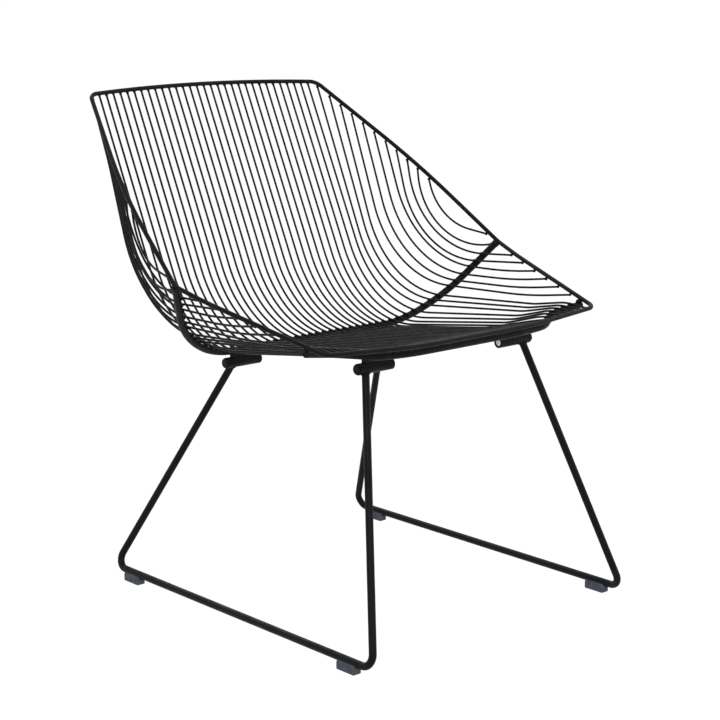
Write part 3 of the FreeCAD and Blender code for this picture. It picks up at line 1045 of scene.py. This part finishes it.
@dataclass
class Studio:
    """Camera, lamps, world and floor.

    Attributes:
        azimuth: Angle of the camera round the chair, in degrees from the front.
        elevation: Its angle above the horizon, in degrees.
        distance: From the camera to the point that it looks at, in metres.
        target: That point.
        focal_px: Focal length in pixels of the photograph.
        image_px: Width of the photograph in pixels.
        sensor_mm: Width of the camera's sensor.
        view_reach: How far the camera sees, in metres.
        ambient: Strength of the world's light on the chair.
        floor_half: Half the floor's side in metres; its far edge lies above the picture.
        floor_top: Height of the floor, just under the glides.
        floor_glow: Brightness of the floor to the camera, a little over white.
        floor_glow_share: Share of that glow in the floor; the rest takes the shadow.
        lamps: Key, fill and back lamp.
    """

    azimuth: float = -41.83
    elevation: float = 12.11
    distance: float = 2.8438
    target: tuple[float, float, float] = (-0.00839, -0.0478, 0.35873)
    focal_px: float = 1888.64
    image_px: float = 720.0
    sensor_mm: float = 36.0
    view_reach: float = 200.0
    ambient: float = 0.55
    floor_half: float = 70.0
    floor_top: float = -0.0002
    floor_glow: float = 1.08
    floor_glow_share: float = 0.9
    lamps: tuple[Lamp, ...] = (
        Lamp("key", (-2.2, -2.4, 3.0), 1.8, 55.0),
        Lamp("fill", (2.8, -1.6, 1.8), 1.6, 22.0),
        Lamp("back", (0.6, 2.8, 2.6), 1.6, 26.0))

    def camera(self) -> None:
        """Set up the camera at the photograph's viewing angle."""
        turn, rise = math.radians(self.azimuth), math.radians(self.elevation)
        back = Vector((math.sin(turn) * math.cos(rise), -math.cos(turn) * math.cos(rise),
                       math.sin(rise)))
        data = bpy.data.cameras.new("camera")
        data.sensor_width = self.sensor_mm
        data.lens = self.focal_px / self.image_px * self.sensor_mm
        data.clip_end = self.view_reach
        camera = bpy.data.objects.new("camera", data)
        camera.location = Vector(self.target) + back * self.distance
        camera.rotation_mode = "QUATERNION"
        camera.rotation_quaternion = (-back).to_track_quat("-Z", "Y")
        bpy.context.scene.collection.objects.link(camera)
        bpy.context.scene.camera = camera

    def light(self, lamp: Lamp) -> None:
        """Set up one lamp.

        Args:
            lamp: The lamp.
        """
        data = bpy.data.lights.new(lamp.name, "AREA")
        data.shape = "SQUARE"
        data.size = lamp.size
        data.energy = lamp.power
        light = bpy.data.objects.new(lamp.name, data)
        light.location = lamp.place
        light.rotation_mode = "QUATERNION"
        aim = Vector(self.target) - Vector(lamp.place)
        light.rotation_quaternion = aim.to_track_quat("-Z", "Y")
        bpy.context.scene.collection.objects.link(light)

    @staticmethod
    def direct_rays(tree: bpy.types.NodeTree) -> bpy.types.NodeSocket:
        """Socket that is one for camera, glossy and transmission rays, else zero."""
        path = add_node(tree, "ShaderNodeLightPath")
        either = add_node(
            tree, "ShaderNodeMath", links={0: path.outputs["Is Camera Ray"],
                                           1: path.outputs["Is Glossy Ray"]},
            operation="MAXIMUM")
        return add_node(
            tree, "ShaderNodeMath", links={0: either.outputs[0],
                                           1: path.outputs["Is Transmission Ray"]},
            operation="MAXIMUM").outputs[0]

    def world(self) -> None:
        """White surroundings for the camera and reflections, plain light for the rest."""
        world = bpy.data.worlds.new("studio")
        bpy.context.scene.world = world
        world.use_nodes = True
        tree = world.node_tree
        tree.nodes.clear()
        strength = add_node(
            tree, "ShaderNodeMapRange", {"To Min": self.ambient, "To Max": 1.0},
            {"Value": self.direct_rays(tree)})
        shade = add_node(
            tree, "ShaderNodeBackground", {"Color": (1.0, 1.0, 1.0, 1.0)},
            {"Strength": strength.outputs["Result"]})
        add_node(tree, "ShaderNodeOutputWorld", links={"Surface": shade.outputs[0]})

    def floor(self) -> None:
        """Pale floor that looks white and still takes a faint shadow."""
        half, top = self.floor_half, self.floor_top
        mesh = bpy.data.meshes.new("floor")
        corners = [(-half, -half, top), (half, -half, top), (half, half, top),
                   (-half, half, top)]
        mesh.from_pydata(corners, [], [(0, 1, 2, 3)])
        material = empty_material("white_studio_paper")
        tree = material.node_tree
        paper = add_node(tree, "ShaderNodeBsdfDiffuse", {"Color": linear("#f4f4f4")})
        glow = add_node(tree, "ShaderNodeEmission", {"Strength": self.floor_glow})
        share = add_node(
            tree, "ShaderNodeMath", {1: self.floor_glow_share}, {0: self.direct_rays(tree)},
            operation="MULTIPLY")
        mix = add_node(
            tree, "ShaderNodeMixShader",
            links={0: share.outputs[0], 1: paper.outputs[0], 2: glow.outputs[0]})
        add_node(tree, "ShaderNodeOutputMaterial", links={"Surface": mix.outputs[0]})
        mesh.materials.append(material)
        floor = bpy.data.objects.new("floor", mesh)
        bpy.context.scene.collection.objects.link(floor)

    def build(self) -> None:
        """Set up everything round the chair."""
        bpy.context.scene.view_settings.view_transform = "Standard"
        self.camera()
        self.world()
        self.floor()
        for lamp in self.lamps:
            self.light(lamp)


# The whole chair. Places are those of the left half in the CAD drawing, in mm.

REAR_ROD = RodLine(
    ((322.5, 35.5, 502.5), (264.5, 97.5, 414.3), (189.5, 126.8, 373.1)), (185.0, 135.0))
FRONT_LAP_CENTRE = (271.0, -187.8, 440.6)
FRONT_LAP_FROM = (218.0, -181.0, 434.0)
BRACKETS = [
    Bracket("front", (155.7, -176.0, 396.4), (254.5, -301.5, 15.8)),
    Bracket("rear", (151.7, 125.0, 356.4), (254.5, 301.5, 15.8)),
]


def dress_nodes(finishes: dict[Slot, bpy.types.Material]) -> None:
    """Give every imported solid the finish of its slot.

    Args:
        finishes: Slot to material.
    """
    for row in frame["record"]["subparts"]:
        materials = frame["nodes"][row["node"]].data.materials
        materials.clear()
        materials.append(finishes[Slot(row["material_slot"])])


def main() -> None:
    """Dress the chair, add its welds and glides, and set up the studio."""
    logging.basicConfig(level=logging.INFO, format="%(message)s")
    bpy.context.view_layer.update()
    Studio().build()

    finishes = {
        Slot.STEEL: POWDER_COAT.material(),
        Slot.ZINC: ZINC_PLATE.material(),
        Slot.PLASTIC: MOULDED_PLUG.material(),
        Slot.RUBBER: GLIDE_RUBBER.material(),
    }
    weld_finish = POOLED_POWDER.material()
    dress_nodes(finishes)

    bucket = Bucket()
    front_ends = bucket.front_ends()
    WireWelds().build(front_ends + bucket.upper_ends(), weld_finish)

    crossings = CrossingWelds()
    crossings.build(crossings.at_front(front_ends), "front_crossing_welds", weld_finish)
    crossings.build(
        crossings.at_rear(bucket.wires, REAR_ROD), "rear_crossing_welds", weld_finish)
    RodEnds(REAR_ROD.corners_mm[0], REAR_ROD.corners_mm[1]).build(weld_finish)
    lap = CrossingWelds(half_length_mm=6.5, half_width_mm=4.2, half_height_mm=3.6)
    lap.build(
        lap_contacts(FRONT_LAP_CENTRE, FRONT_LAP_FROM), "front_rod_end_welds", weld_finish)

    SledWelds().build(BRACKETS, weld_finish)
    Glides().build(finishes[Slot.RUBBER])


if __name__ == "__main__":
    main()
